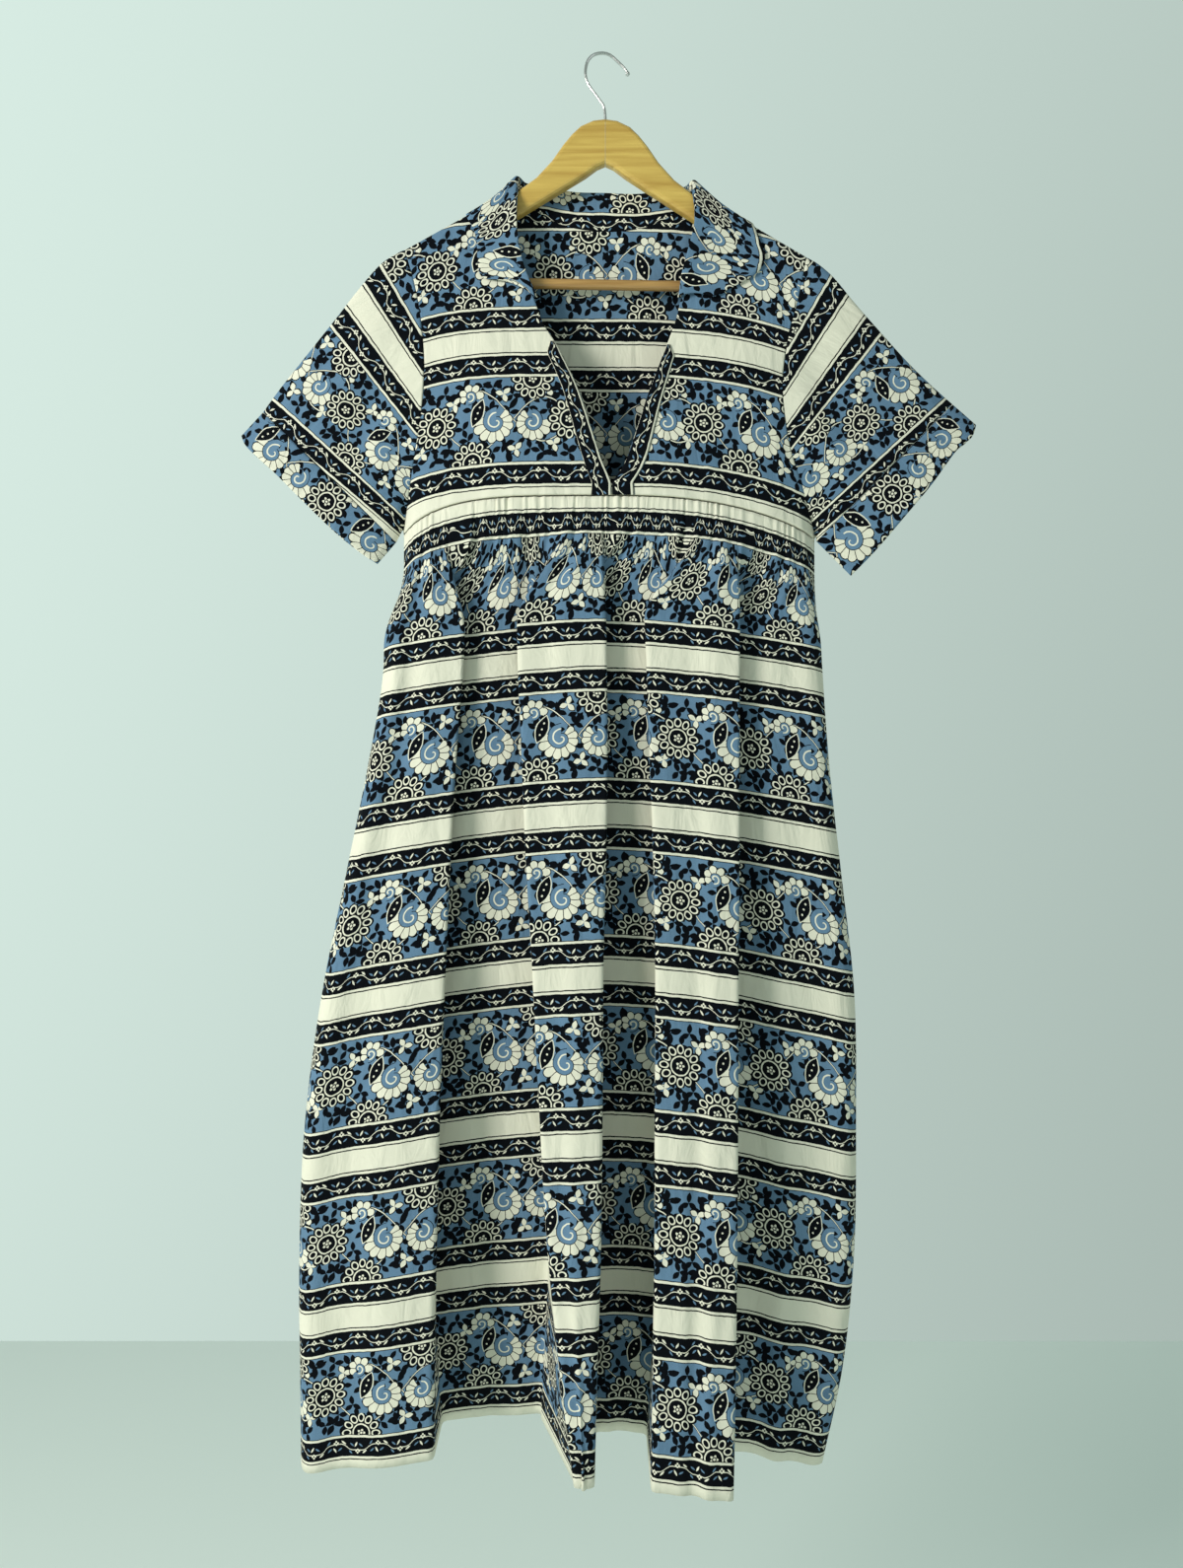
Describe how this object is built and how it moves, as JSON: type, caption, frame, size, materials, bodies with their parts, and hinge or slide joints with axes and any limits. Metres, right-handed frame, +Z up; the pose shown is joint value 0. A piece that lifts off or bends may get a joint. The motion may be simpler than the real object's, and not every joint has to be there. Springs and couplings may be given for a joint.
{
  "type": "tiered midi dress on hanger",
  "caption": "Short-sleeved cotton midi dress with a collar, an open V neck and a gathered empire skirt, hung on a wooden hanger with a wire hook.",
  "frame": {"origin": "underside of the top of the hanger's hook, where a rail carries it", "axes": "+Z up, +X towards the right of the picture, -Y out of the dress's front"},
  "size_m": [0.745, 0.2125, 1.4246],
  "materials": {
    "back_cotton": "matt printed cotton",
    "front_cotton": "matt printed cotton",
    "collar_cotton": "matt printed cotton",
    "cuff_left_cotton": "matt printed cotton",
    "cuff_right_cotton": "matt printed cotton",
    "arm_left_wood": "satin, clear lacquer",
    "arm_right_wood": "satin, clear lacquer",
    "bar_wood": "satin, clear lacquer",
    "hook_chrome": "polished",
    "facing_left_cotton": "matt printed cotton",
    "facing_right_cotton": "matt printed cotton",
    "skirt_back_cotton": "matt printed cotton",
    "skirt_front_cotton": "matt printed cotton",
    "sleeve_left_cotton": "matt printed cotton",
    "sleeve_right_cotton": "matt printed cotton"
  },
  "bodies": {
    "root": {"bodice_back": "back_cotton", "bodice_front": "front_cotton", "collar": "collar_cotton", "cuff_left": "cuff_left_cotton", "cuff_right": "cuff_right_cotton", "hanger_arm_left": "arm_left_wood", "hanger_arm_right": "arm_right_wood", "hanger_bar": "bar_wood", "hanger_hook": "hook_chrome", "neck_facing_left": "facing_left_cotton", "neck_facing_right": "facing_right_cotton", "skirt_back": "skirt_back_cotton", "skirt_front": "skirt_front_cotton", "sleeve_left": "sleeve_left_cotton", "sleeve_right": "sleeve_right_cotton"}
  },
  "joints": []
}
